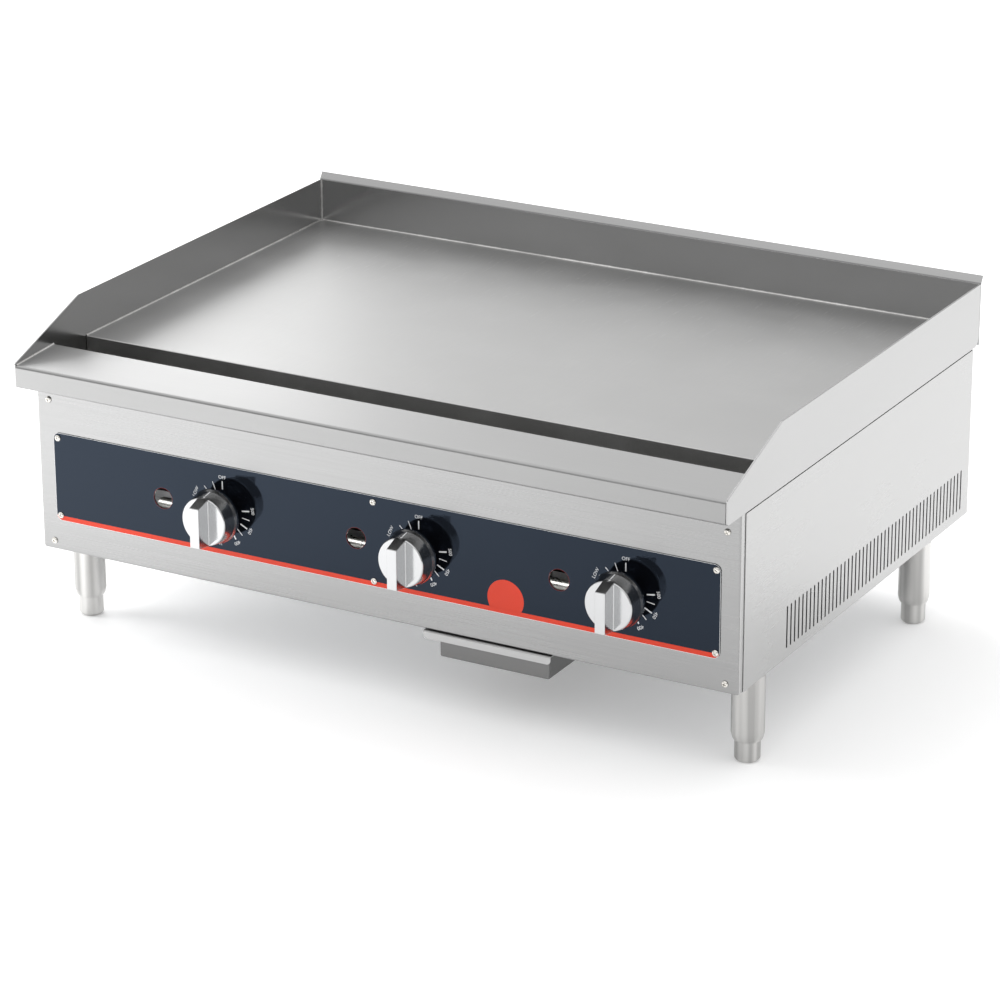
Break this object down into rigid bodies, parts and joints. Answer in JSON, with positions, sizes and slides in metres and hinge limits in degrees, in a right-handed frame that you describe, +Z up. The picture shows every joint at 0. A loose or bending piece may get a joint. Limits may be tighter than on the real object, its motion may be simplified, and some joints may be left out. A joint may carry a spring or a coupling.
{
  "type": "flat top griddle",
  "caption": "Countertop gas flat top griddle with a thick steel plate, welded splash guards, front grease trough and drawer, thermostat knobs and adjustable legs.",
  "frame": {"origin": "centre of the overall bounding box in plan, at the bottom of the feet", "axes": "+X to the right seen from the front, +Y towards the back, the controls face -Y, +Z up"},
  "size_m": [0.914, 0.7268, 0.3981],
  "materials": {
    "griddle_steel": "ground and polished, faint cross-grain machining marks",
    "splash_stainless": "brushed stainless sheet, darker inside, welded corners",
    "trough_steel": "dark heat-tinted steel",
    "body_stainless": "brushed stainless sheet, horizontal grain",
    "overlay_print": "glossy dark blue printed overlay with a red band and white dial marks",
    "knob_chrome": "satin chrome cap with a grip bar, black hub, white pointer mark",
    "plated_steel": "bright nickel plate",
    "brass": "machined brass",
    "cast_zinc": "as-cast, dull",
    "aluminised_steel": "dull aluminised tube",
    "black_pipe": "black iron gas pipe",
    "galvanised_steel": "galvanised sheet, faint spangle",
    "leg_steel": "brushed nickel-plated tube, vertical grain"
  },
  "bodies": {
    "root": {"griddle_plate": "griddle_steel", "left_splash_guard": "splash_stainless", "right_splash_guard": "splash_stainless", "rear_splash_guard": "splash_stainless", "front_ledge": "body_stainless", "grease_trough": "trough_steel", "drain_chute": "body_stainless", "front_panel": "body_stainless", "control_overlay": "overlay_print", "left_side_panel": "body_stainless", "right_side_panel": "body_stainless", "rear_panel": "galvanised_steel", "bottom_pan": "galvanised_steel", "burner_box_front": "galvanised_steel", "burner_rear_support": "galvanised_steel", "gas_manifold": "plated_steel", "gas_inlet_pipe": "black_pipe", "left_drawer_rail": "galvanised_steel", "right_drawer_rail": "galvanised_steel", "panel_screw_1": "plated_steel", "panel_screw_2": "plated_steel", "panel_screw_3": "plated_steel", "panel_screw_4": "plated_steel", "overlay_screw_1": "plated_steel", "overlay_screw_2": "plated_steel", "overlay_screw_3": "plated_steel", "overlay_screw_4": "plated_steel", "overlay_screw_5": "plated_steel", "overlay_screw_6": "plated_steel", "left_thermostat": "cast_zinc", "left_orifice": "brass", "left_burner": "aluminised_steel", "left_pilot_burner": "brass", "middle_thermostat": "cast_zinc", "middle_orifice": "brass", "middle_burner": "aluminised_steel", "middle_pilot_burner": "brass", "right_thermostat": "cast_zinc", "right_orifice": "brass", "right_burner": "aluminised_steel", "right_pilot_burner": "brass", "front_left_leg": "leg_steel", "front_right_leg": "leg_steel", "rear_left_leg": "leg_steel", "rear_right_leg": "leg_steel"},
    "left_control": {"left_knob": "knob_chrome", "left_shaft": "plated_steel"},
    "middle_control": {"middle_knob": "knob_chrome", "middle_shaft": "plated_steel"},
    "right_control": {"right_knob": "knob_chrome", "right_shaft": "plated_steel"},
    "left_shutter": {"left_air_shutter": "plated_steel"},
    "middle_shutter": {"middle_air_shutter": "plated_steel"},
    "right_shutter": {"right_air_shutter": "plated_steel"},
    "drawer": {"grease_drawer": "body_stainless"},
    "front_left_foot_stem": {"front_left_foot": "leg_steel"},
    "front_right_foot_stem": {"front_right_foot": "leg_steel"},
    "rear_left_foot_stem": {"rear_left_foot": "leg_steel"},
    "rear_right_foot_stem": {"rear_right_foot": "leg_steel"}
  },
  "joints": [
    {"name": "left_knob_turn", "type": "hinge", "parent": "root", "child": "left_control", "pos_m": [-0.2001, -0.3022, 0.196], "axis": [0, -1, 0], "range_deg": [0, 279]},
    {"name": "middle_knob_turn", "type": "hinge", "parent": "root", "child": "middle_control", "pos_m": [0.0589, -0.3022, 0.196], "axis": [0, -1, 0], "range_deg": [0, 279]},
    {"name": "right_knob_turn", "type": "hinge", "parent": "root", "child": "right_control", "pos_m": [0.3179, -0.3022, 0.196], "axis": [0, -1, 0], "range_deg": [0, 279]},
    {"name": "left_shutter_turn", "type": "hinge", "parent": "root", "child": "left_shutter", "pos_m": [-0.2001, -0.2084, 0.236], "axis": [0, -1, 0], "range_deg": [0, 60]},
    {"name": "middle_shutter_turn", "type": "hinge", "parent": "root", "child": "middle_shutter", "pos_m": [0.0589, -0.2084, 0.236], "axis": [0, -1, 0], "range_deg": [0, 60]},
    {"name": "right_shutter_turn", "type": "hinge", "parent": "root", "child": "right_shutter", "pos_m": [0.3179, -0.2084, 0.236], "axis": [0, -1, 0], "range_deg": [0, 60]},
    {"name": "drawer_slide", "type": "slide", "parent": "root", "child": "drawer", "axis": [0, -1, 0], "range_m": [0, 0.34]},
    {"name": "front_left_foot_screw", "type": "slide", "parent": "root", "child": "front_left_foot_stem", "axis": [0, 0, -1], "range_m": [-0.012, 0.022]},
    {"name": "front_right_foot_screw", "type": "slide", "parent": "root", "child": "front_right_foot_stem", "axis": [0, 0, -1], "range_m": [-0.012, 0.022]},
    {"name": "rear_left_foot_screw", "type": "slide", "parent": "root", "child": "rear_left_foot_stem", "axis": [0, 0, -1], "range_m": [-0.012, 0.022]},
    {"name": "rear_right_foot_screw", "type": "slide", "parent": "root", "child": "rear_right_foot_stem", "axis": [0, 0, -1], "range_m": [-0.012, 0.022]}
  ]
}
